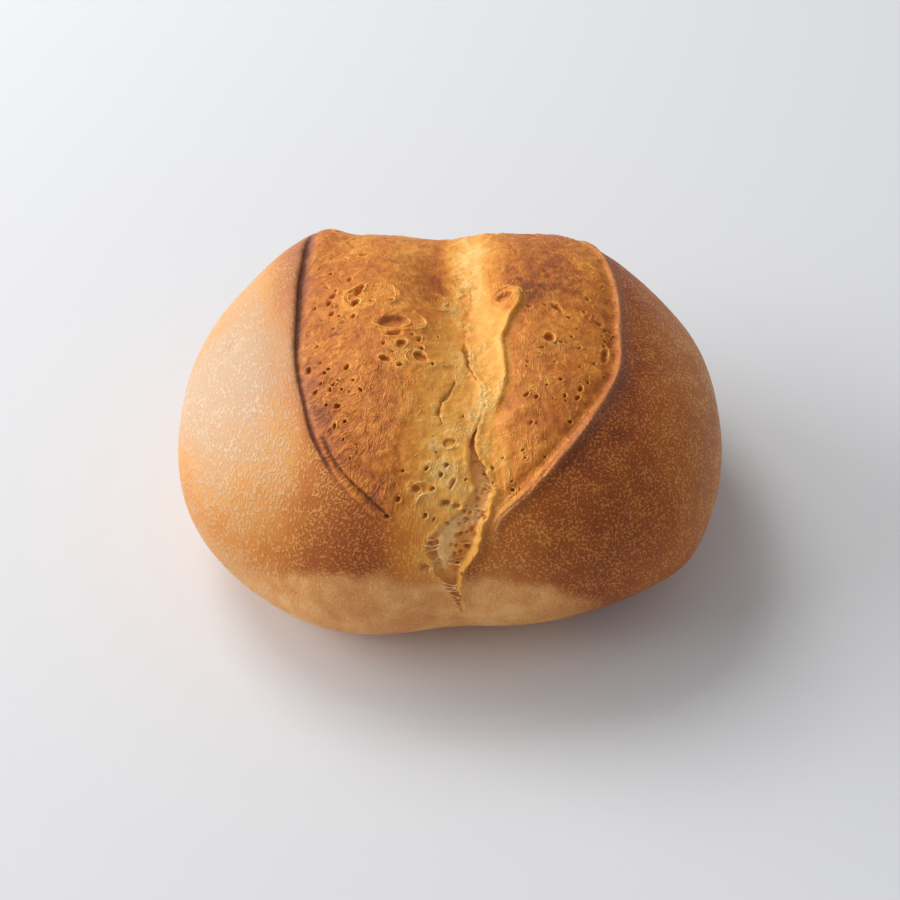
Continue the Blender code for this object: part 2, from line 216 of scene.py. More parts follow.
def bell(offset, width):
    """1 at no offset, a third at this width, and close to 0 at twice the width."""
    return np.exp(-((offset / width) ** 2))


def ease(t):
    """0 below 0, 1 above 1, and smooth between."""
    t = np.clip(t, 0.0, 1.0)
    return t * t * (3 - 2 * t)


def lumps(points, size, shift=0.0):
    """Smooth noise from about -1 to 1 at these points, with lumps of this size."""
    offset = Vector((shift, 1.7 * shift, -0.6 * shift))
    return np.array([noise.noise(Vector(p) / size + offset) for p in points])


def torn(rib, number, step):
    """Straight zigzags from -1 to 1 along a torn edge, one turn in each step of the rib angle."""
    turns = np.arange(-90, 270 + step, step)
    return np.interp(rib, turns, np.random.default_rng(SEED + number).uniform(-1, 1, len(turns)))


def across(line, x, rib):
    """How far a place is from a line, measured square to the line on the skin. Positive is to the right."""
    run = 2.0 * math.radians(1.0) * through(REACH, rib)
    slope = (through(line, rib + 1.0) - through(line, rib - 1.0)) / run
    return (x - through(line, rib)) / np.sqrt(1 + slope**2)


def within(line, rib, fade):
    """1 over the rib angles that a line spans, fading to 0 at its ends."""
    return ease((rib - line[0][0]) / fade) * ease((line[-1][0] - rib) / fade)


def plain_level(x, y, height):
    """Below 1 inside the plain risen dough and 1 on its skin. height is counted from the girth."""
    sideways = np.abs(x / (WIDTH / 2)) ** PLAN_POWER
    backwards = np.abs(y / (DEPTH / 2)) ** PLAN_POWER
    plan = (sideways + backwards) ** (1 / PLAN_POWER)
    up = np.abs(height / (HEIGHT - GIRTH_HEIGHT)) ** CROWN_POWER
    down = np.abs(height / KEEL_DEPTH) ** KEEL_POWER
    crown = (plan**CROWN_POWER + up) ** (1 / CROWN_POWER)
    keel = (plan**KEEL_POWER + down) ** (1 / KEEL_POWER)
    return np.where(height > 0, crown, keel)


def plain_skin(x, rib, halvings):
    """Points of the plain dough's skin, and the direction that relief is raised in."""
    angle = np.radians(rib)
    near = np.zeros_like(x)
    far = np.full_like(x, DEPTH)
    for _ in range(halvings):
        middle = (near + far) / 2
        inside = plain_level(x, -middle * np.cos(angle), middle * np.sin(angle)) < 1
        near = np.where(inside, middle, near)
        far = np.where(inside, far, middle)
    out = np.stack([np.zeros_like(x), -np.cos(angle), np.sin(angle)], axis=-1)
    points = near[..., None] * out
    points[..., 0] = x
    points[..., 2] += GIRTH_HEIGHT
    return points, out


def seam_edges(rib):
    """Places along X of the seam's torn left and right edges."""
    wander = through(SEAM_WANDER, rib)
    middle = through(SEAM, rib) + wander * (0.7 * torn(rib, 1, 2.6) + 0.25 * torn(rib, 2, 1.1))
    half_width = through(SEAM_HALF_WIDTH, rib)
    bites = wander * np.minimum(half_width, 2.4)
    left = half_width + 0.35 * bites * torn(rib, 3, 1.3)
    right = half_width + bites * (0.3 * torn(rib, 4, 1.1) + 0.45 * torn(rib, 5, 1.9) * bell(rib - 29, 5))
    return middle - left, middle + right


def place_along_x(station, rib):
    """A lattice station's place along X: stations are spread evenly between the lines, whatever the rib."""
    left, right = seam_edges(rib)
    ends = np.full_like(left, WIDTH / 2)
    knots = np.stack([-ends, through(EAR, rib), left, right, through(RIDGE, rib), ends])
    i = np.clip(np.searchsorted(KNOT_STATIONS, station, side="right") - 1, 0, len(KNOT_STATIONS) - 2)
    first = np.array(KNOT_STATIONS)[i]
    last = np.array(KNOT_STATIONS)[i + 1]
    low = np.take_along_axis(knots, i[None], axis=0)[0]
    high = np.take_along_axis(knots, i[None] + 1, axis=0)[0]
    return low + (high - low) * (station - first) / (last - first)


def bloom_mask(x, rib):
    """1 on the torn bloom between ear and ridge, 0 on the crust."""
    inside = ease(across(EAR, x, rib) / 1.2) * ease(-across(RIDGE, x, rib) / 1.2 + 0.5)
    return inside * ease((rib - 17) / 12) * ease((184 - rib) / 10)


def scattered(patches, chance, taken, gap):
    """Small bubbles round the middle of each patch, clear of each other and of those already there."""
    found = []
    for x, x_spread, rib, rib_spread, count, size, turn in patches:
        placed = 0
        for _ in range(40 * count):
            if placed == count:
                break
            at, angle = chance.normal(x, x_spread), chance.normal(rib, rib_spread)
            width = size * chance.uniform(0.5, 1.1)
            length = width * chance.uniform(1.0, 1.9)
            clear = all(math.hypot(at - other[0], 1.3 * (angle - other[1])) > (length + other[2]) / 2 + gap
                        for other in (*taken, *found))
            inside = across(EAR, at, angle) > 1.5 and across(RIDGE, at, angle) < -2.5
            if clear and inside:
                found.append((at, angle, length, width, chance.normal(turn, 20), 0.7 * width))
                placed += 1
    return found


@functools.lru_cache(maxsize=None)
def pores():
    """Every open bubble of the bloom: the large ones, and the small ones that lie round them."""
    return (*BUBBLES, *scattered(BUBBLE_PATCHES, np.random.default_rng(SEED), BUBBLES, 0.4))


@functools.lru_cache(maxsize=None)
def crumb_cells():
    """The open cells of the crumb inside the seam."""
    return tuple(scattered(CRUMB_PATCHES, np.random.default_rng(SEED + 20), (), 0.1))


def finder(x):
    """A search among these places along X for those within reach of one."""
    order = np.argsort(x)
    sorted_x = x[order]

    def find(at, reach):
        first, last = np.searchsorted(sorted_x, (at - reach, at + reach))
        return order[first:last]

    return find


def near_pores(x, rib):
    """True in a pore and close to its edge."""
    near = np.zeros(len(x), bool)
    step = math.radians(1)
    find = finder(x)
    for at, angle, length, width, *_ in pores():
        reach = max(length, width) / 2 + 0.7
        some = find(at, reach)
        up = (rib[some] - angle) * step * float(through(REACH, angle))
        near[some] |= np.hypot(x[some] - at, up) < reach
    return near


def turned_axes(outwards, turn):
    """Two directions in the skin, square to each other, the first turned this far up from X."""
    sideways = Vector((1, 0, 0))
    upwards = outwards.cross(sideways)
    cosine = math.cos(math.radians(turn))
    sine = math.sin(math.radians(turn))
    return sideways * cosine + upwards * sine, upwards * cosine - sideways * sine


def wanted_edge(x, rib):
    """How long a mesh edge may be here: short in the seam, on the lines and in pores, long underneath."""
    shown = ease((rib + 14) / 12) * ease((166 - rib) / 16)
    left, right = seam_edges(rib)
    off_seam = np.maximum(left - x, x - right)
    in_seam = (off_seam < 1.4) & (rib > -9) & (rib < 80)
    near_line = np.minimum(np.abs(across(EAR, x, rib) - 0.8), np.abs(across(RIDGE, x, rib)) - 0.6)
    near_line = np.minimum(near_line, np.abs(across(FOLD, x, rib)) + 9 * (1 - within(FOLD, rib, 1)))
    near_line = np.minimum(near_line, np.abs(across(LIP, x, rib)) + 9 * (1 - within(LIP, rib, 1)))
    on_line = (near_line < 1.6) & (rib > 20) & (rib < 165)
    on_side = (np.abs(across(SIDE_CRACK, x, rib)) < 1.1) & (rib > 42) & (rib < 63)
    size = EDGE_BACK - (EDGE_BACK - EDGE_FRONT) * shown
    size = np.where((bloom_mask(x, rib) > 0.3) & (shown > 0.5), EDGE_BLOOM, size)
    size = np.where(on_line, EDGE_LINES, size)
    size = np.where(near_pores(x, rib) & (shown > 0.5), EDGE_PORES, size)
    size = np.where(in_seam | on_side, EDGE_SEAM, size)
    return np.where((rib < -40) | (rib > 220), EDGE_UNDERNEATH, size)


def lattice():
    """The plain dough as a closed mesh, finer where more shows, that keeps each point's x and rib angle."""
    bm = bmesh.new()
    ribs = np.arange(-90, 270 + RIB_STEP / 2, RIB_STEP)
    rows = [[bm.verts.new((station, rib, 0)) for station in STATIONS] for rib in ribs]
    for row, after in zip(rows, rows[1:]):
        for i in range(len(row) - 1):
            bm.faces.new((row[i], row[i + 1], after[i + 1], after[i]))
    bmesh.ops.triangulate(bm, faces=bm.faces[:])
    for _ in range(ROUNDS_OF_CUTS):
        bm.verts.index_update()
        station, rib = np.array([v.co[:2] for v in bm.verts]).T
        x = place_along_x(station, rib)
        points, _ = plain_skin(x, rib, 14)
        first, last = np.array([[v.index for v in e.verts] for e in bm.edges]).T
        lengths = np.linalg.norm(points[first] - points[last], axis=1)
        too_long = lengths > wanted_edge((x[first] + x[last]) / 2, (rib[first] + rib[last]) / 2)
        if not too_long.any():
            break
        chosen = [edge for edge, long in zip(bm.edges, too_long) if long]
        bmesh.ops.subdivide_edges(bm, edges=chosen, cuts=1)
        with_cuts = [face for face in bm.faces if len(face.verts) > 3]
        bmesh.ops.triangulate(bm, faces=with_cuts, quad_method="BEAUTY")
    station, rib = np.array([v.co[:2] for v in bm.verts]).T
    x = place_along_x(station, rib)
    points, _ = plain_skin(x, rib, 30)
    keep_x = bm.verts.layers.float.new("x_place")
    keep_rib = bm.verts.layers.float.new("rib_angle")
    for vert, point, one_x, one_rib in zip(bm.verts, points, x, rib):
        vert.co = point
        vert[keep_x] = one_x
        vert[keep_rib] = one_rib
    bmesh.ops.remove_doubles(bm, verts=bm.verts[:], dist=0.01)
    bmesh.ops.recalc_face_normals(bm, faces=bm.faces[:])
    mesh = bpy.data.meshes.new("loaf_crust")
    bm.to_mesh(mesh)
    bm.free()
    return mesh


def ear_form(x, rib):
    """The left crust's edge, which stands over a groove that climbs back to the bloom."""
    from_ear = across(EAR, x, rib)
    depth = through(EAR_DEPTH, rib)
    groove = np.where(from_ear < 0.8, from_ear / 0.8, 1 - ease((from_ear - 0.8) / through(EAR_WIDTH, rib)))
    lip = np.where(from_ear < 0, bell(from_ear, 4.5) - 0.5 * bell(from_ear, 1.0), 0.5)
    fold = through(FOLD_DEPTH, rib) * within(FOLD, rib, 1.0)
    from_fold = across(FOLD, x, rib)
    fold_shape = bell(from_fold, 0.8) - 0.4 * bell(from_fold + 2, 1.2)
    return 0.3 * depth * lip - depth * np.maximum(groove, 0) - fold * fold_shape


def ridge_form(x, rib):
    """The right crust's edge: a raised strand split into fibres, with a hollow on either side."""
    from_ridge = across(RIDGE, x, rib)
    strand = bell(from_ridge, through(RIDGE_WIDTH, rib))
    hollows = 0.12 * bell(from_ridge - 2.6, 1.2) + 0.5 * bell(from_ridge + 3.4, 2.4)
    fibres = 0.16 * np.sin(3.6 * from_ridge + 1.5 * torn(rib, 6, 7)) * bell(from_ridge + 1.2, 2.0)
    return through(RIDGE_RISE, rib) * (strand - hollows + fibres)


def lip_form(x, rib):
    """The rolled fold right of the seam: it drops away on its right and runs out gently on its left."""
    from_lip = across(LIP, x, rib) + 0.5 * torn(rib, 7, 5)
    run_out = 0.65 * bell(from_lip, 1.5) + 0.35 * bell(from_lip, 8)
    roll = np.where(from_lip < 0, run_out, bell(from_lip, 0.9))
    drop = -0.3 * ease(from_lip / 1.4) * bell(from_lip, 7)
    return through(LIP_RISE, rib) * (roll + drop) * within(LIP, rib, 6)


def side_cut(x, rib):
    """The short broken crack left of the seam."""
    line = 0.4 * torn(rib, 8, 1.4)
    width = 0.45 + 0.45 * bell(rib - 54.5, 4) + 0.5 * torn(rib, 9, 1.9)
    width = within(SIDE_CRACK, rib, 1) * np.clip(width, 0, 1.0)
    crack = 1 - ease(np.abs(across(SIDE_CRACK, x, rib) - line) / np.maximum(width, 0.05) - 0.3)
    return crack * (width > 0.06)


def soft_left(rib):
    """1 where the seam's left edge fades out into shallow crumb instead of a torn wall."""
    return bell(rib - 23.6, 2.2)


def seam_form(x, rib, points):
    """The torn seam: how far it sinks, and how far into it a place is, from 0 outside to 1 on its floor."""
    left, right = seam_edges(rib)
    soft = soft_left(rib)
    wall = np.clip(0.45 * (right - left), 0.3, 0.9)
    cut = ease((x - left) / (wall + 2.2 * soft)) * ease((right - x) / wall) * ease((rib + 4) / 4)
    open_part = ease((40 - rib) / 4)
    recess = RECESS_DEPTH * bell(x - left - 1.9, 1.5) * bell(rib - RECESS_RIBS[0], RECESS_RIBS[1])
    floor = through(SEAM_DEPTH, rib) + recess
    for at, spread, angle, angle_spread, height in CRUMB_MOUNDS:
        floor = floor - height * bell(x - at, spread) * bell(rib - angle, angle_spread)
    steps = np.stack([x / 4.0, rib * 1.5, 0 * x], axis=-1)
    rough = 0.45 * lumps(steps, 1.1, 2.0) + 0.8 * lumps(points, 2.2, 6.0) + 0.4 * lumps(points, 1.1, 9.0)
    floor -= open_part * rough
    sink = -cut * np.maximum(floor, 0.3)
    edges = (1 - soft) * bell(x - left + 0.8, 0.8) + bell(x - right - 0.8, 0.9)
    lips = 0.3 * edges * ease((80 - rib) / 8) * ease((rib + 4) / 8)
    beyond = np.maximum(x - right, 0)
    flap = through(FLAP_RISE, rib) * bell(beyond - 1.2, FLAP_WIDTH) * ease((x - right + 0.8) / 0.9)
    return sink + lips + flap, cut


def wrinkle_places(x, rib):
    """Coordinates for wrinkles: across and along the streaks that fan out and down from the seam."""
    outward = np.abs(x - 8)
    climb = np.radians(rib) * 80
    turned = 0.9 * ease((outward - 6) / 40)
    aside = outward * np.cos(turned) + climb * np.sin(turned)
    along = climb * np.cos(turned) - outward * np.sin(turned)
    return np.stack([aside, along / 2.6, np.where(x < 8, 0.0, 300.0)], axis=-1)


def open_pores(points, out, x, rib):
    """How far pores and rings sink the skin, how much painted shade darkens each pore, and where their rims
    and bowls are.
    """
    sink, dark, rims, bowls = np.zeros((4, len(points)))
    find = finder(x)
    places = [*pores(), *crumb_cells(), *RINGS]
    for number, (at, angle, length, width, turn, deep, *strongest) in enumerate(places):
        reach = max(length, width)
        near = find(at, reach)
        near = near[np.abs(rib[near] - angle) * 1.1 < reach + 1]
        if not len(near):
            continue
        centre = near[np.argmin((x[near] - at) ** 2 + (rib[near] - angle) ** 2)]
        long_axis, short_axis = turned_axes(Vector(out[centre]), turn)
        offset = points[near] - points[centre]
        along = offset @ np.array(long_axis)
        beside = offset @ np.array(short_axis)
        bearing = np.arctan2(beside / width, along / length)
        wobble = 1 + 0.12 * np.sin(2 * bearing + number) + 0.08 * np.sin(3 * bearing + 2.3 * number)
        away = np.hypot(along / (length / 2), beside / (width / 2)) / wobble
        if strongest:
            arc = 0.5 + 0.5 * np.cos(bearing - math.radians(strongest[0]))
            fold = bell((away - 1) * width / 2, 0.55) * (0.25 + 0.75 * arc)
            sink[near] += deep * (0.5 * bell(away, 0.8) - fold)
            rims[near] = np.maximum(rims[near], 0.8 * fold * min(deep / 0.5, 1))
            continue
        bowl = 1 - ease((away - 0.45) / 0.6)
        # Rims are lighter and a little raised, strongest towards the lower right: a painted highlight on the
        # side that light falls on.
        rim = bell(away - 1.25, 0.26) * (0.6 + 0.4 * np.cos(bearing - 5.5))
        sink[near] = np.maximum(sink[near], deep * bowl)
        bowls[near] = np.maximum(bowls[near], bowl)
        # Painted shade in the bowl: deeper and narrower pores are darker, and a large bubble is shaded only
        # round its walls.
        shade = bowl * np.clip(1.4 * deep / width - 0.35, 0.05, 0.9)
        if width > LARGE_BUBBLE:
            shade = 0.7 * bell(away - 0.72, 0.2)
        dark[near] = np.maximum(dark[near], shade)
        rims[near] = np.maximum(rims[near], rim * (1 - bowl))
    return sink, dark, rims, bowls


def bake_level(points, x, rib, bloom):
    """How brown the skin is, from 0, pale, to 1, dark, where the pale band is, and where dough tore late."""
    drift = lumps(points, 17.0, 1.0)
    patches = lumps(points, 7.0, 3.0)
    from_ear = across(EAR, x, rib)
    from_ridge = across(RIDGE, x, rib)
    from_lip = across(LIP, x, rib)
    right_edge = seam_edges(rib)[1]

    # The crust: pale on the left, dark on the right, and darker close to the ear.
    left = through(LEFT_BAKE, x) + through(LEFT_BAKE_BY_RIB, rib)
    right = through(RIGHT_BAKE, x) - 0.06 * ease((rib - 60) / 40)
    crust = left + (right - left) * ease((x - 2) / 14) + 0.06 * drift + 0.04 * patches
    by_ear = bell(from_ear, 12) * (from_ear < 0) * ease((rib - 34) / 20)
    crust += (0.16 + 0.20 * ease((rib - 70) / 35)) * by_ear

    # The bloom, paler towards the back.
    torn_part = through(BLOOM_BAKE, x) + 0.12 * drift + 0.06 * patches - 0.10 * ease((rib - 112) / 24)
    # Darker left of the pocket, beside the ear low down and high up, and halfway between ear and seam.
    torn_part += 0.12 * bell(x + 12, 12) * bell(rib - 18, 9)
    torn_part += 0.24 * bell(from_ear - 9, 9) * bell(rib - 46, 19)
    torn_part += 0.16 * bell(from_ear, 9) * ease((rib - 84) / 30)
    torn_part += 0.12 * bell(x + 22, 8) * bell(rib - 52, 14)
    # Lighter in the middle, left of the seam.
    torn_part -= 0.12 * bell(x + 6, 9) * bell(rib - 38, 16)
    # Darker right of the lip, and on the right side high up and low down.
    torn_part += 0.24 * ease((from_lip - 0.6) / 1.4) * bell(from_lip, 9) * within(LIP, rib, 5)
    torn_part += 0.26 * ease((x - 11) / 6) * (1 - ease((x - 40) / 16)) * ease((rib - 92) / 14)
    torn_part += 0.12 * ease((x - 12) / 6) * ease((64 - rib) / 14)
    # Darker left of the cleft's pale strip, with painted shade in the soft crease along the closed seam, and
    # darker down the back of the cleft.
    torn_part += 0.22 * ease((x + 22) / 12) * ease((1 - x) / 6) * ease((rib - 68) / 20)
    torn_part += 0.22 * bell(x + 4, 5) * ease((rib - 92) / 16)
    # Painted shade in the soft crease of the closed seam.
    closed_seam_shade = bell(x - through(SEAM, rib), 1.8) * ease((rib - 77) / 5)
    torn_part += 0.12 * closed_seam_shade * ease((128 - rib) / 25)
    torn_part += 0.24 * bell(x - 6, 12) * ease((rib - 128) / 30)

    beside_seam = ease((rib - 2) / 12) * ease((27 - np.abs(x + 4)) / 14) * ease((80 - rib) / 20)
    beside_seam *= ease((right_edge + 1.0 - x) / 1.2)
    fresh = np.maximum(bloom, beside_seam)
    bake = crust + (torn_part - crust) * fresh
    by_ridge = ease(from_ridge / 2.0) * bell(from_ridge, 10)
    bake += 0.12 * by_ridge * ease((rib - 24) / 10) * ease((170 - rib) / 20)
    top = through(BAND_TOP, x) + 1.6 * drift + 1.6 * patches
    band = (1 - ease((rib - top + 1.5) / 4.0)) * ease((x + 84) / 30) * (1 - ease((x - 34) / 30))
    return np.clip(bake, 0, 1), np.clip(band, 0, 1), fresh


def pale_and_highlit_edges(x, rib):
    """1 on the thin edges that are light: the ridge and the lips of the seam are paler dough, and the lip
    carries a painted highlight on its left flank, where light falls.
    """
    ridge = bell(across(RIDGE, x, rib) + 0.3, 1.5) * np.minimum(through(RIDGE_RISE, rib) / 1.2, 1)
    # Painted highlight on the lip's left flank, which faces the light.
    lip = bell(across(LIP, x, rib) + 0.5 * torn(rib, 7, 5) + 0.7, 1.5) * within(LIP, rib, 6)
    left, right = seam_edges(rib)
    torn_edge = (1 - soft_left(rib)) * bell(x - left + 0.4, 0.6)
    torn_edge += bell(x - right - 0.4, 0.6) * (1 - bell(rib - 14, 12))
    torn_edge *= ease((78 - rib) / 6) * ease((rib + 2) / 6)
    return np.clip(0.35 * ridge + lip + 0.7 * torn_edge, 0, 1)


def glowing_edges(x, rib):
    """1 where an edge is so thin that light comes through it, painted as an orange glow: the flap and the
    rolled lip.
    """
    right = seam_edges(rib)[1]
    flap = bell(x - right - 0.8, 0.9) * ease((rib - 3) / 4) * ease((42 - rib) / 6)
    lip = bell(across(LIP, x, rib) - 1.2, 1.2) * within(LIP, rib, 8)
    return np.clip(flap + 0.8 * lip, 0, 1)


def dusky_skin(x, rib):
    """1 where the skin is a dull purple brown: on both sides of the ear, on the ridge and beside it."""
    from_ear = across(EAR, x, rib)
    from_ridge = across(RIDGE, x, rib)
    bloom_side = 0.8 * bell(from_ear, 5.5) * (from_ear > 0) * ease((rib - 34) / 20)
    crust_side = bell(from_ear, 12) * (from_ear <= 0) * ease((rib - 36) / 30)
    ridge_side = 0.6 * bell(from_ridge - 2, 3) * ease((rib - 34) / 16) * ease((170 - rib) / 20)
    crest = 0.8 * bell(from_ridge, 1.3) * np.minimum(through(RIDGE_RISE, rib), 1)
    return np.clip(np.maximum(bloom_side, crust_side) + ridge_side + crest, 0, 1)


def shaded_burnt_grooves(x, rib):
    """Where the skin is darkest: painted shade in the groove behind the ear, in the fold's crease and in a
    thin line beside the ridge, over darker baked crust.
    """
    from_ear = across(EAR, x, rib)
    ear = ease((from_ear + 0.1) / 0.5) * (1 - ease((from_ear - 0.8) / (0.85 * through(EAR_WIDTH, rib))))
    ear *= np.minimum(through(EAR_DEPTH, rib) / 1.6, 1)
    fold = bell(across(FOLD, x, rib), 0.7) * np.minimum(through(FOLD_DEPTH, rib), 1) * within(FOLD, rib, 1)
    ridge = 0.25 * bell(across(RIDGE, x, rib) - 1.8, 0.7) * np.minimum(through(RIDGE_RISE, rib) / 1.5, 1)
    return np.clip(ear + fold + ridge, 0, 1)


def shape_loaf(mesh):
    """Raises the big forms on the plain lattice and stores the guides that the finish reads."""
    count = len(mesh.vertices)
    x, rib = np.empty(count), np.empty(count)
    mesh.attributes["x_place"].data.foreach_get("value", x)
    mesh.attributes["rib_angle"].data.foreach_get("value", rib)
    points, out = plain_skin(x, rib, 30)
    bloom = bloom_mask(x, rib)
    end_fade = ease((WIDTH / 2 - np.abs(x)) / END_FADE)

    from_cleft = x - through(CLEFT, rib)
    rise = -through(CLEFT_DEPTH, rib) * bell(from_cleft, through(CLEFT_WIDTH, rib))
    rise += through(LOBE_RISE, rib) * bell(np.abs(from_cleft) - LOBE_AT, LOBE_SPREAD)
    for at, spread, angle, angle_spread, height in SWELLS + DENTS:
        rise += height * bell(x - at, spread) * bell(rib - angle, angle_spread)
    seam_rise, seam = seam_form(x, rib, points)
    side = side_cut(x, rib)
    rise += ear_form(x, rib) + ridge_form(x, rib) + lip_form(x, rib) + seam_rise - 1.1 * side
    # A slight unevenness all over.
    rise += lumps(points, 48.0)
    points = points + (rise * end_fade)[:, None] * out
    sink, dark, rims, bowls = open_pores(points, out, x, rib)
    points -= ((sink - 0.25 * rims) * end_fade)[:, None] * out
    # The underside is pressed flat, with a rounded foot.
    z = points[:, 2]
    points[:, 2] = 0.5 * (z + np.sqrt(z**2 + 1.0))

    bake, band, fresh = bake_level(points, x, rib, bloom)
    left, right = seam_edges(rib)
    crumb = seam * ease((78 - rib) / 2)
    under_flap = ease((x - 0.45 * left - 0.55 * right) / 1.5) * bell(rib - 14, 8)
    guides = {
        "bloom": bloom,
        "fresh": fresh,
        "bake": bake,
        "band": band,
        "seam": crumb,
        "crack": np.maximum(side, crumb * ease((rib - 38) / 3)),
        "toasted": under_flap * crumb,
        "pore": dark,
        "bowl": bowls,
        "rim": np.clip(rims + pale_and_highlit_edges(x, rib), 0, 1),
        "groove": shaded_burnt_grooves(x, rib),
        "amber_glow": glowing_edges(x, rib),
        "dusky": dusky_skin(x, rib),
    }
    mesh.vertices.foreach_set("co", (points * MM).ravel())
    for name, values in guides.items():
        mesh.attributes.new(name, "FLOAT", "POINT").data.foreach_set("value", values)
    streaks = mesh.attributes.new("streaks", "FLOAT_VECTOR", "POINT")
    streaks.data.foreach_set("vector", (wrinkle_places(x, rib) * MM).ravel())
    mesh.update()
    mesh.shade_smooth()


class Wire:
    """A node's socket that takes part in sums, so that a pattern reads as formulas."""

    def __init__(self, recipe, socket):
        self.recipe = recipe
        self.socket = socket

    def maths(self, operation, *values):
        return self.recipe.node("ShaderNodeMath", {"operation": operation}, *values)

    def __add__(self, other):
        return self.maths("ADD", self, other)

    def __mul__(self, other):
        return self.maths("MULTIPLY", self, other)

    def __sub__(self, other):
        return self.maths("SUBTRACT", self, other)

    def __rsub__(self, other):
        return self.maths("SUBTRACT", other, self)

    __radd__ = __add__
    __rmul__ = __mul__

    def size(self):
        return self.maths("ABSOLUTE", self)

    def at_most(self, other):
        return self.maths("MINIMUM", self, other)

    def between(self, low, high):
        """0 where this is at low, 1 where it is at high, and smooth between."""
        settings = {"interpolation_type": "SMOOTHSTEP"}
        return self.recipe.node("ShaderNodeMapRange", settings, self, low, high, 0.0, 1.0)


class Recipe:
    """Makes the nodes of one material or one geometry tree."""

    def __init__(self, tree):
        self.tree = tree

    def plug(self, socket, value):
        if isinstance(value, Wire):
            self.tree.links.new(value.socket, socket)
        elif value is not None:
            socket.default_value = value

    def node(self, kind, settings, *values, out=0, **by_name):
        """One node: its settings first, then its sockets in order or by name."""
        node = self.tree.nodes.new(kind)
        for name, value in settings.items():
            setattr(node, name, value)
        for socket, value in zip(node.inputs, values):
            self.plug(socket, value)
        for name, value in by_name.items():
            self.plug(node.inputs[name.replace("_", " ")], value)
        return Wire(self, node.outputs[out])

    def noise(self, where, size, detail=2.0, rough=0.5, warp=0.0):
        """Noise from about 0 to 1 with lumps of this size in metres."""
        if isinstance(size, float):
            scale = 1 / size
        else:
            scale = self.node("ShaderNodeMath", {"operation": "DIVIDE"}, 1.0, size)
        return self.node("ShaderNodeTexNoise", {}, Vector=where, Scale=scale, Detail=detail,
                         Roughness=rough, Distortion=warp)


class Finish(Recipe):
    """One material."""

    def __init__(self, name):
        self.material = bpy.data.materials.new(name)
        self.material.use_nodes = True
        super().__init__(self.material.node_tree)
        self.shader = self.tree.nodes["Principled BSDF"]

    def guide(self, name, out=2):
        """A guide stored on the mesh: a number, or a vector from output 1."""
        return self.node("ShaderNodeAttribute", {"attribute_name": name}, out=out)

    def here(self, scale=(1, 1, 1)):
        """Object coordinates, stretched for a pattern that runs one way."""
        place = self.node("ShaderNodeTexCoord", {}, out=3)
        return self.node("ShaderNodeMapping", {}, place, Scale=scale)

    def mix(self, factor, first, second):
        node = self.tree.nodes.new("ShaderNodeMix")
        node.data_type = "RGBA"
        self.plug(node.inputs[0], factor)
        self.plug(node.inputs[6], first)
        self.plug(node.inputs[7], second)
        return Wire(self, node.outputs[2])

    def ramp(self, level, stops):
        """A colour ramp through (place, colour) stops."""
        node = self.tree.nodes.new("ShaderNodeValToRGB")
        elements = node.color_ramp.elements
        while len(elements) < len(stops):
            elements.new(0.5)
        for element, (place, colour) in zip(elements, stops):
            element.position = place
            element.color = (*colour, 1.0)
        self.plug(node.inputs[0], level)
        return Wire(self, node.outputs[0])


def tree_with_inputs(name, inputs):
    """An empty geometry tree with these named number inputs, and its recipe, geometry and input wires."""
    tree = bpy.data.node_groups.new(name, "GeometryNodeTree")
    tree.interface.new_socket("Geometry", in_out="INPUT", socket_type="NodeSocketGeometry")
    tree.interface.new_socket("Geometry", in_out="OUTPUT", socket_type="NodeSocketGeometry")
    for label in inputs:
        tree.interface.new_socket(label, in_out="INPUT", socket_type="NodeSocketFloat")
    recipe = Recipe(tree)
    start = tree.nodes.new("NodeGroupInput")
    wires = {socket.name: Wire(recipe, socket) for socket in start.outputs if socket.name}
    return recipe, wires


def end_tree(recipe, geometry, material):
    """Ends a geometry tree with real geometry in this material."""
    geometry = recipe.node("GeometryNodeRealizeInstances", {}, geometry)
    geometry = recipe.node("GeometryNodeSetMaterial", {}, geometry, Material=material)
    recipe.tree.links.new(geometry.socket, recipe.tree.nodes.new("NodeGroupOutput").inputs[0])


def grown(obj, tree, values):
    """The plain mesh that a geometry tree makes of an object, with these values for its named inputs."""
    modifier = obj.modifiers.new(tree.name, "NODES")
    modifier.node_group = tree
    for item in tree.interface.items_tree:
        if item.name in values:
            modifier[item.identifier] = values[item.name]
    evaluated = obj.evaluated_get(bpy.context.evaluated_depsgraph_get())
    mesh = bpy.data.meshes.new_from_object(evaluated)
    obj.modifiers.clear()
    return mesh


def named(recipe, name, kind="FLOAT"):
    """A guide stored on the mesh, inside a geometry tree."""
    return recipe.node("GeometryNodeInputNamedAttribute", {"data_type": kind}, name)


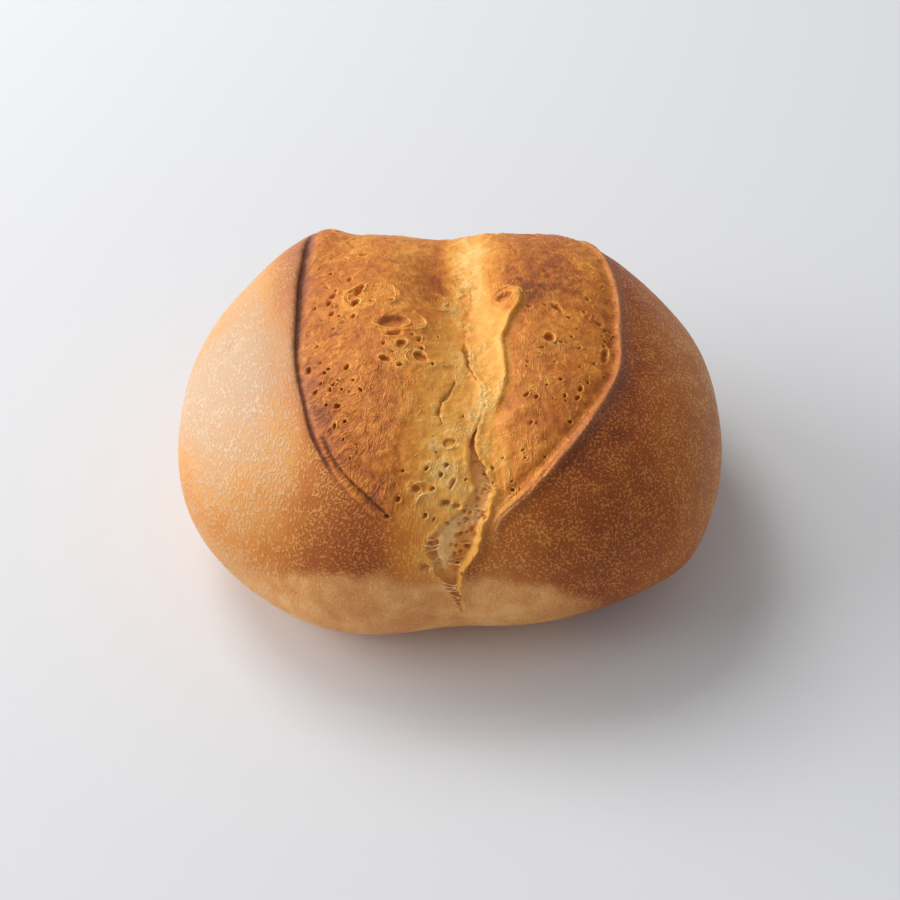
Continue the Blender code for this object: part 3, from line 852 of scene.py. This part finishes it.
def fine_relief_tree(material):
    """Raises the fine relief: wrinkles and lumps on the bloom, crumb in the seam, pebbles on the crust."""
    inputs = ("Lump Size", "Lump Height", "Wrinkle Size", "Wrinkle Height", "Pebble Size", "Pebble Height",
              "Crumb Size", "Crumb Height")
    recipe, wires = tree_with_inputs("fine_relief", inputs)
    here = recipe.node("GeometryNodeInputPosition", {})
    bloom, seam, bowl = named(recipe, "bloom"), named(recipe, "seam"), named(recipe, "bowl")
    streaks = named(recipe, "streaks", "FLOAT_VECTOR")
    lump = recipe.noise(here, wires["Lump Size"], 2.5, 0.55, 0.4) - 0.5
    wrinkle = recipe.noise(streaks, wires["Wrinkle Size"], 2.0, 0.5, 0.8) - 0.5
    lace = 0.5 - 2.0 * (recipe.noise(here, 0.6 * wires["Lump Size"], 2.0, 0.6, 1.0) - 0.5).size()
    pebble = recipe.noise(here, wires["Pebble Size"], 2.0, 0.5) - 0.5
    crumb = recipe.noise(here, wires["Crumb Size"], 3.0, 0.7, 0.8) - 0.5
    torn_relief = wires["Lump Height"] * (lump + 0.3 * lace) + wires["Wrinkle Height"] * wrinkle
    on_bloom = bloom * (1.0 - seam) * (1.0 - 0.8 * bowl) * torn_relief
    on_crust = (1.0 - bloom) * wires["Pebble Height"] * pebble
    rise = on_bloom + on_crust + seam * wires["Crumb Height"] * crumb
    normal = recipe.node("GeometryNodeInputNormal", {})
    offset = recipe.node("ShaderNodeVectorMath", {"operation": "SCALE"}, normal, Scale=rise)
    raised = recipe.node("GeometryNodeSetPosition", {}, wires["Geometry"], Offset=offset)
    relief = bloom * (wrinkle * 1.2 + lump * 1.0 + lace * 0.35)
    kept = recipe.node("GeometryNodeStoreNamedAttribute", {"data_type": "FLOAT"}, raised, Name="relief",
                       Value=relief)
    end_tree(recipe, kept, material)
    return recipe.tree


# Base colours by how brown the skin is: (level from 0, pale, to 1, dark, and its red, green and blue).
CRUST_STOPS = ((0.0, (0.64, 0.41, 0.25)), (0.12, (0.68, 0.38, 0.19)), (0.3, (0.77, 0.35, 0.09)),
               (0.45, (0.67, 0.23, 0.035)), (0.6, (0.53, 0.15, 0.018)), (0.8, (0.38, 0.085, 0.010)),
               (1.0, (0.20, 0.038, 0.008)))
BLOOM_STOPS = ((0.0, (0.98, 0.59, 0.19)), (0.18, (0.96, 0.44, 0.075)), (0.4, (0.84, 0.31, 0.042)),
               (0.6, (0.66, 0.20, 0.022)), (0.8, (0.49, 0.13, 0.018)), (1.0, (0.27, 0.065, 0.014)))
BAND_STOPS = ((0.2, (0.95, 0.56, 0.22)), (0.5, (0.86, 0.40, 0.12)), (0.85, (0.70, 0.27, 0.07)))
CRUMB_STOPS = ((0.0, (1.0, 0.66, 0.27)), (0.5, (0.98, 0.49, 0.14)), (1.0, (0.66, 0.25, 0.055)))
CREAM = (0.94, 0.70, 0.43, 1.0)
DUSK = (0.44, 0.20, 0.125, 1.0)
# Painted glow of light coming through thin edges.
AMBER_GLOW = (0.94, 0.42, 0.055, 1.0)
# Pore colour: painted shade over a darker brown.
PORE_SHADE_COLOUR = (0.42, 0.13, 0.030, 1.0)
# Painted shade in grooves and creases, over darker baked crust.
GROOVE_SHADE_COLOUR = (0.17, 0.060, 0.036, 1.0)
CRACK_COLOUR = (0.62, 0.29, 0.085, 1.0)


def crust_finish():
    """Baked crust, torn bloom and open crumb in one material, told apart by the guides."""
    finish = Finish("baked_crust")
    bloom, fresh, bake, band = map(finish.guide, ("bloom", "fresh", "bake", "band"))
    seam, crack, toasted, pore = map(finish.guide, ("seam", "crack", "toasted", "pore"))
    rim, groove, amber_glow, dusky = map(finish.guide, ("rim", "groove", "amber_glow", "dusky"))
    relief = finish.guide("relief")
    here = finish.here()
    streaks = finish.guide("streaks", out=1)
    grain = finish.noise(here, 0.0006, 2.0, 0.6) - 0.5
    clouds = finish.noise(here, 0.009, 3.0, 0.6) - 0.5

    # Small blisters of the crust: drawn out on the pale side, round where it is dark.
    drawn_out = finish.noise(finish.here((1.0, 0.5, 0.55)), 0.0008, 1.0, 0.5, 0.4)
    rounded = finish.noise(here, 0.0009, 1.5, 0.5, 0.2)
    dark_side = bake.between(0.45, 0.70)
    fleck_noise = drawn_out + (rounded - drawn_out) * dark_side
    coverage = finish.noise(here, 0.008, 2.0, 0.6) - 0.5
    fleck = (fleck_noise + coverage * 0.3).between(0.48, 0.62)
    fleck = fleck * (1.0 - bloom) * (1.0 - band * 0.3) * (1.0 - seam)

    # The torn bloom: mottled, with small drawn-out pits in patches and thin webs round the bubbles.
    mottle = finish.noise(here, 0.0042, 4.0, 0.6, 0.5) - 0.5
    pit_noise = finish.noise(streaks, 0.0024, 1.5, 0.5, 0.7)
    patch = finish.noise(here, 0.012, 2.0) + bake * 0.30
    patch = patch.between(0.60, 0.78) * bloom * (1.0 - seam)
    pit = (1.0 - pit_noise.between(0.30, 0.40)) * patch
    pit_edge = pit_noise.between(0.40, 0.47) * (1.0 - pit_noise.between(0.49, 0.58)) * patch
    web = 1.0 - ((finish.noise(here, 0.0048, 2.0, 0.5, 1.5) - 0.5).size() * 22.0).at_most(1.0)
    web = web * finish.noise(here, 0.010, 1.0).between(0.46, 0.60) * bloom * (1.0 - seam)

    # Lighter on rims and thin edges: paler dough there, and a painted highlight on the lit side of bubble
    # rims and on the lip's left flank.
    level = bake + clouds * 0.20 + grain * 0.10 - relief * 0.16 - rim * (0.05 + 0.20 * bake)
    level = level - bloom * mottle * (0.30 + 0.80 * bake) + pit * 0.10 - pit_edge * 0.20 - web * 0.16
    level = level - fleck * (0.05 + 0.36 * bake)
    colour = finish.mix(fresh, finish.ramp(level, CRUST_STOPS), finish.ramp(level, BLOOM_STOPS))
    band_level = bake * 0.7 + 0.12 + clouds * 1.2 + grain * 0.9 - fleck * 0.22
    colour = finish.mix(band, colour, finish.ramp(band_level, BAND_STOPS))
    colour = finish.mix(fleck * (1.0 - bake.between(0.0, 0.5)) * 0.36, colour, CREAM)
    colour = finish.mix(dusky * (1.0 - rim) * 0.4, colour, DUSK)
    # Painted orange glow where light comes through the thin flap and lip.
    colour = finish.mix(amber_glow * (1.0 - seam) * 0.95, colour, AMBER_GLOW)
    # Painted shade, over a darker brown, inside pores and crumb cells.
    colour = finish.mix(pore, colour, PORE_SHADE_COLOUR)
    # Painted shade, over darker bake, behind the ear, in the fold and beside the ridge.
    colour = finish.mix(groove * 0.85, colour, GROOVE_SHADE_COLOUR)
    # The open crumb. Its cells, and those under the flap, are darkened by the same painted shade.
    crumb = finish.ramp(0.22 + clouds + mottle * 1.0 + pore * 0.5, CRUMB_STOPS)
    colour = finish.mix(seam * 0.95, colour, crumb)
    colour = finish.mix(toasted * 0.8, colour, finish.ramp(0.42 + mottle * 1.4 + pore * 0.6, BLOOM_STOPS))
    colour = finish.mix(crack * 0.85, colour, CRACK_COLOUR)
    finish.plug(finish.shader.inputs["Base Color"], colour)
    finish.plug(finish.shader.inputs["Roughness"], 0.54 - fleck * 0.10 + grain * 0.25 + seam * 0.2)
    height = fleck * 0.45 + grain * 0.3 + bloom * (mottle * 1.6 + pit_edge * 0.5 + web * 0.6 - pit * 0.3)
    bump = finish.node("ShaderNodeBump", {}, 0.7, 0.0006, Height=height)
    finish.plug(finish.shader.inputs["Normal"], bump)
    finish.shader.inputs["Specular IOR Level"].default_value = 0.35
    finish.shader.inputs["Subsurface Weight"].default_value = 0.06
    finish.shader.inputs["Subsurface Radius"].default_value = (0.0030, 0.0012, 0.0005)
    finish.shader.inputs["Subsurface Scale"].default_value = 1.0
    return finish.material


def strand_finish():
    """Pale, slightly glossy gluten, drawn out between the torn walls."""
    finish = Finish("gluten")
    shade = finish.noise(finish.here(), 0.002, 2.0)
    colour = finish.ramp(shade, ((0.3, (0.95, 0.70, 0.34)), (0.7, (0.82, 0.48, 0.17))))
    finish.plug(finish.shader.inputs["Base Color"], colour)
    finish.plug(finish.shader.inputs["Roughness"], 0.45 + shade * 0.2)
    finish.shader.inputs["Subsurface Weight"].default_value = 0.2
    finish.shader.inputs["Subsurface Radius"].default_value = (0.0020, 0.0010, 0.0004)
    finish.shader.inputs["Subsurface Scale"].default_value = 1.0
    return finish.material


class FinishedSkin:
    """The finished loaf's surface, where thin lines are laid on it."""

    def __init__(self, mesh):
        count = len(mesh.vertices)
        self.x, self.rib, self.bake = (np.empty(count) for _ in range(3))
        for name, values in (("x_place", self.x), ("rib_angle", self.rib), ("bake", self.bake)):
            mesh.attributes[name].data.foreach_get("value", values)
        points = np.empty(3 * count)
        mesh.vertices.foreach_get("co", points)
        self.points = points.reshape(-1, 3)
        self.front = np.nonzero((self.rib > -10) & (self.rib < 160))[0]
        faces = [tuple(polygon.vertices) for polygon in mesh.polygons]
        self.surface = BVHTree.FromPolygons([tuple(point) for point in self.points], faces)

    def nearest(self, x, rib):
        """The index of the skin's vertex nearest to this place."""
        away = (self.x[self.front] - x) ** 2 + (1.3 * (self.rib[self.front] - rib)) ** 2
        return self.front[np.argmin(away)]

    def laid(self, point, outwards):
        """Drops a point onto the surface, against this direction."""
        start = Vector(point) + DROP * MM * outwards
        return self.surface.ray_cast(start, -outwards, 2 * DROP * MM)[0]


def guide_mesh(name, lines):
    """Polylines as a mesh: each line is its points, its radius and how baked it is."""
    points, edges, radius, bake = [], [], [], []
    for line, thick, level in lines:
        edges += [(len(points) + i, len(points) + i + 1) for i in range(len(line) - 1)]
        points += [tuple(point) for point in line]
        radius += [thick * MM] * len(line)
        bake += [level] * len(line)
    mesh = bpy.data.meshes.new(name)
    mesh.from_pydata(points, edges, [])
    ones = [1.0] * len(points)
    for attribute, values in (("thickness", radius), ("bake", bake), ("bloom", ones), ("fresh", ones)):
        mesh.attributes.new(attribute, "FLOAT", "POINT").data.foreach_set("value", values)
    return mesh


def strand_guides(skin):
    """Straight lines between the torn walls, with their ends on the finished skin."""
    chance = np.random.default_rng(SEED + 40)
    lines = []
    for low, high, number, start, end in STRAND_PATCHES:
        for angle in chance.uniform(low, high, number):
            from_angle = angle + chance.uniform(-0.3, 0.3)
            to_angle = angle + chance.uniform(-1.2, 0.8)
            reach = min(end + chance.uniform(-0.08, 0.06), 1.0)
            left, right = seam_edges(np.array([from_angle, to_angle]))
            first = skin.nearest(left[0] + (right[0] - left[0]) * start - 0.3, from_angle)
            last = skin.nearest(left[1] + (right[1] - left[1]) * reach + 0.2, to_angle)
            along = np.linspace(0, 1, STRAND_POINTS)[:, None]
            line = skin.points[first] * (1 - along) + skin.points[last] * along
            lines.append((line, chance.uniform(*STRAND_RADIUS), 0.0))
    return guide_mesh("gluten_guides", lines)


def web_arcs():
    """Every thin light rim, as (x, rib angle, length, width, turn, first and last bearing, radius)."""
    chance = np.random.default_rng(SEED + 60)
    arcs = []
    for x, rib, length, width, turn, _ in pores():
        if rib > 22 and length > 1.5:
            wide = 360 if width > LARGE_BUBBLE else chance.uniform(150, 280)
            middle = chance.normal(-45, 35)
            radius = np.clip(0.18 + 0.05 * width, *RIM_RADIUS)
            start, end = middle - wide / 2, middle + wide / 2
            arcs.append((x, rib, length * 1.12, width * 1.12, turn, start, end, radius))
    for x, rib, length, width, turn, _, strongest in RINGS:
        wide = chance.uniform(120, 200)
        start, end = strongest - wide / 2, strongest + wide / 2
        arcs.append((x, rib, length, width, turn, start, end, RING_RADIUS))
    for _ in range(LOOSE_WEBS):
        near = pores()[chance.integers(0, len(pores()))]
        x, rib = near[0] + chance.normal(0, 3.5), near[1] + chance.normal(0, 3.5)
        length = chance.uniform(1.6, 5.0)
        turn, start, wide = chance.normal(60, 25), chance.uniform(0, 360), chance.uniform(60, 150)
        width = length * chance.uniform(0.35, 0.9)
        arcs.append((x, rib, length, width, turn, start, start + wide, RIM_RADIUS[0]))
    return arcs


def web_guides(skin):
    """Thin rims round the bubbles and loose webs between them, laid on the finished skin."""
    chance = np.random.default_rng(SEED + 61)
    lines = []
    for x, rib, length, width, turn, start, end, radius in web_arcs():
        if bloom_mask(np.array([x]), np.array([rib]))[0] < 0.8 and rib > 32:
            continue
        centre = skin.nearest(x, rib)
        angle = math.radians(rib)
        outwards = Vector((0, -math.cos(angle), math.sin(angle)))
        along, beside = turned_axes(outwards, turn)
        steps = max(5, int(math.radians(end - start) * (length + width) / 4 / RIM_STEP))
        phase = chance.uniform(0, 6)
        line = []
        for bearing in np.radians(np.linspace(start, end, steps)):
            wobble = 1 + 0.08 * math.sin(2 * bearing + phase) + 0.05 * math.sin(3 * bearing + 2 * phase)
            offset = along * math.cos(bearing) * length / 2 + beside * math.sin(bearing) * width / 2
            spot = skin.laid(Vector(skin.points[centre]) + offset * wobble * MM, outwards)
            if spot is not None:
                line.append(spot - outwards * 0.45 * radius * MM)
        # The rims are baked lighter than the skin round them: thin pale dough, and partly a painted
        # highlight on edges that catch the light.
        if len(line) > 3:
            lines.append((line, radius, max(skin.bake[centre] - 0.30, 0.05)))
    return guide_mesh("web_guides", lines)


def line_tree(name, material):
    """Turns guide lines into round strands, each as thick as its line says, sagging in the middle."""
    recipe, wires = tree_with_inputs(name, ("Sag", "Wander", "Wander Size", "End Size", "Middle Size"))
    curve = recipe.node("GeometryNodeMeshToCurve", {}, wires["Geometry"])
    along = recipe.node("GeometryNodeSplineParameter", {})
    here = recipe.node("GeometryNodeInputPosition", {})
    middle = along * (1.0 - along) * 4.0
    wander = (recipe.noise(here, wires["Wander Size"], 1.0) - 0.5) * wires["Wander"] * middle
    offset = recipe.node("ShaderNodeCombineXYZ", {}, wander * 0.6, wander, wander - middle * wires["Sag"])
    curve = recipe.node("GeometryNodeSetPosition", {}, curve, Offset=offset)
    swell = wires["End Size"] + (wires["Middle Size"] - wires["End Size"]) * middle
    ring = recipe.node("GeometryNodeCurvePrimitiveCircle", {}, Resolution=6, Radius=1.0)
    thickness = named(recipe, "thickness") * swell
    tubes = recipe.node("GeometryNodeCurveToMesh", {}, curve, ring, Scale=thickness, Fill_Caps=True)
    tubes = recipe.node("GeometryNodeSetShadeSmooth", {}, tubes)
    end_tree(recipe, tubes, material)
    return recipe.tree


def drawn_lines(name, guides, material, sizes):
    """A piece made of round strands along these guides."""
    obj = bpy.data.objects.new(name, guides)
    bpy.context.scene.collection.objects.link(obj)
    obj.data = grown(obj, line_tree(name, material), sizes)
    obj.data.name = name
    return obj


def fitted(mesh):
    """Fits the finished loaf to the frame's box."""
    points = np.empty(3 * len(mesh.vertices))
    mesh.vertices.foreach_get("co", points)
    points = points.reshape(-1, 3)
    low, high = points.min(axis=0), points.max(axis=0)
    points = (LOW + (points - low) * (HIGH - LOW) / (high - low)) * MM
    mesh.vertices.foreach_set("co", points.ravel())
    mesh.update()


def floor():
    """A wide pale floor that the loaf stands on."""
    mesh = bpy.data.meshes.new("floor")
    reach = 6.0
    mesh.from_pydata([(-reach, -reach, 0), (reach, -reach, 0), (reach, reach, 0), (-reach, reach, 0)], [],
                     [(0, 1, 2, 3)])
    obj = bpy.data.objects.new("floor", mesh)
    bpy.context.scene.collection.objects.link(obj)
    finish = Finish("pale_floor")
    finish.shader.inputs["Base Color"].default_value = (0.79, 0.80, 0.825, 1)
    finish.shader.inputs["Roughness"].default_value = 0.8
    finish.shader.inputs["Specular IOR Level"].default_value = 0.2
    mesh.materials.append(finish.material)


LAMP_SIZE = 1.2
LAMP_DISTANCE = 2.6
SURROUND_STRENGTH = 0.34


def lamp(name, turn, climb, power):
    """A soft window light, turned this far from the front towards the left, and this high."""
    light = bpy.data.lights.new(name, "AREA")
    light.size = LAMP_SIZE
    light.energy = power
    obj = bpy.data.objects.new(name, light)
    turn, climb = math.radians(turn), math.radians(climb)
    level = math.cos(climb)
    place = LAMP_DISTANCE * Vector((-math.sin(turn) * level, -math.cos(turn) * level, math.sin(climb)))
    obj.location = place
    obj.rotation_euler = (-place).to_track_quat("-Z", "Y").to_euler()
    bpy.context.scene.collection.objects.link(obj)


def studio():
    """Soft window light from the left, low and high, and a pale surround."""
    lamp("window_low", 110, 25, 29)
    lamp("window_high", 140, 50, 29)
    lamp("window_front", 80, 25, 20)
    world = bpy.data.worlds.new("surround")
    bpy.context.scene.world = world
    world.use_nodes = True
    world.node_tree.nodes["Background"].inputs["Color"].default_value = (1, 1, 1, 1)
    world.node_tree.nodes["Background"].inputs["Strength"].default_value = SURROUND_STRENGTH
    bpy.context.scene.view_settings.view_transform = "Standard"


CAMERA_PLACE = (0.0, -0.4904, 0.5090)
CAMERA_LOOKS_DOWN = 44.54
LENS = 67.2


def camera():
    """The view from above the front, as a guest at the table sees the loaf."""
    data = bpy.data.cameras.new("camera")
    data.sensor_width = 36.0
    data.lens = LENS
    obj = bpy.data.objects.new("camera", data)
    obj.location = CAMERA_PLACE
    obj.rotation_euler = (math.radians(90 - CAMERA_LOOKS_DOWN), 0, 0)
    bpy.context.scene.collection.objects.link(obj)
    bpy.context.scene.camera = obj


def main():
    camera()
    studio()
    floor()
    material = crust_finish()
    plain = lattice()
    shape_loaf(plain)
    loaf = bpy.data.objects.new("loaf_crust", plain)
    bpy.context.scene.collection.objects.link(loaf)
    heights = {"Lump Size": 0.0060, "Lump Height": 0.0018, "Wrinkle Size": 0.0060, "Wrinkle Height": 0.0005,
               "Pebble Size": 0.004, "Pebble Height": 0.0003, "Crumb Size": 0.0018, "Crumb Height": 0.0012}
    loaf.data = grown(loaf, fine_relief_tree(material), heights)
    loaf.data.name = "loaf_crust"
    fitted(loaf.data)
    skin = FinishedSkin(loaf.data)
    strand_sizes = {"Sag": 0.0005, "Wander": 0.0016, "Wander Size": 0.002, "End Size": 2.2,
                    "Middle Size": 0.8}
    strands = drawn_lines("gluten_strands", strand_guides(skin), strand_finish(), strand_sizes)
    rim_sizes = {"Sag": 0.0, "Wander": 0.0003, "Wander Size": 0.003, "End Size": 0.3, "Middle Size": 1.1}
    rims = drawn_lines("bubble_rims", web_guides(skin), material, rim_sizes)
    for piece in (loaf, strands, rims):
        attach(piece, "root")
        print(piece.name, "triangles", sum(len(polygon.vertices) - 2 for polygon in piece.data.polygons))
    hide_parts("loaf")


main()
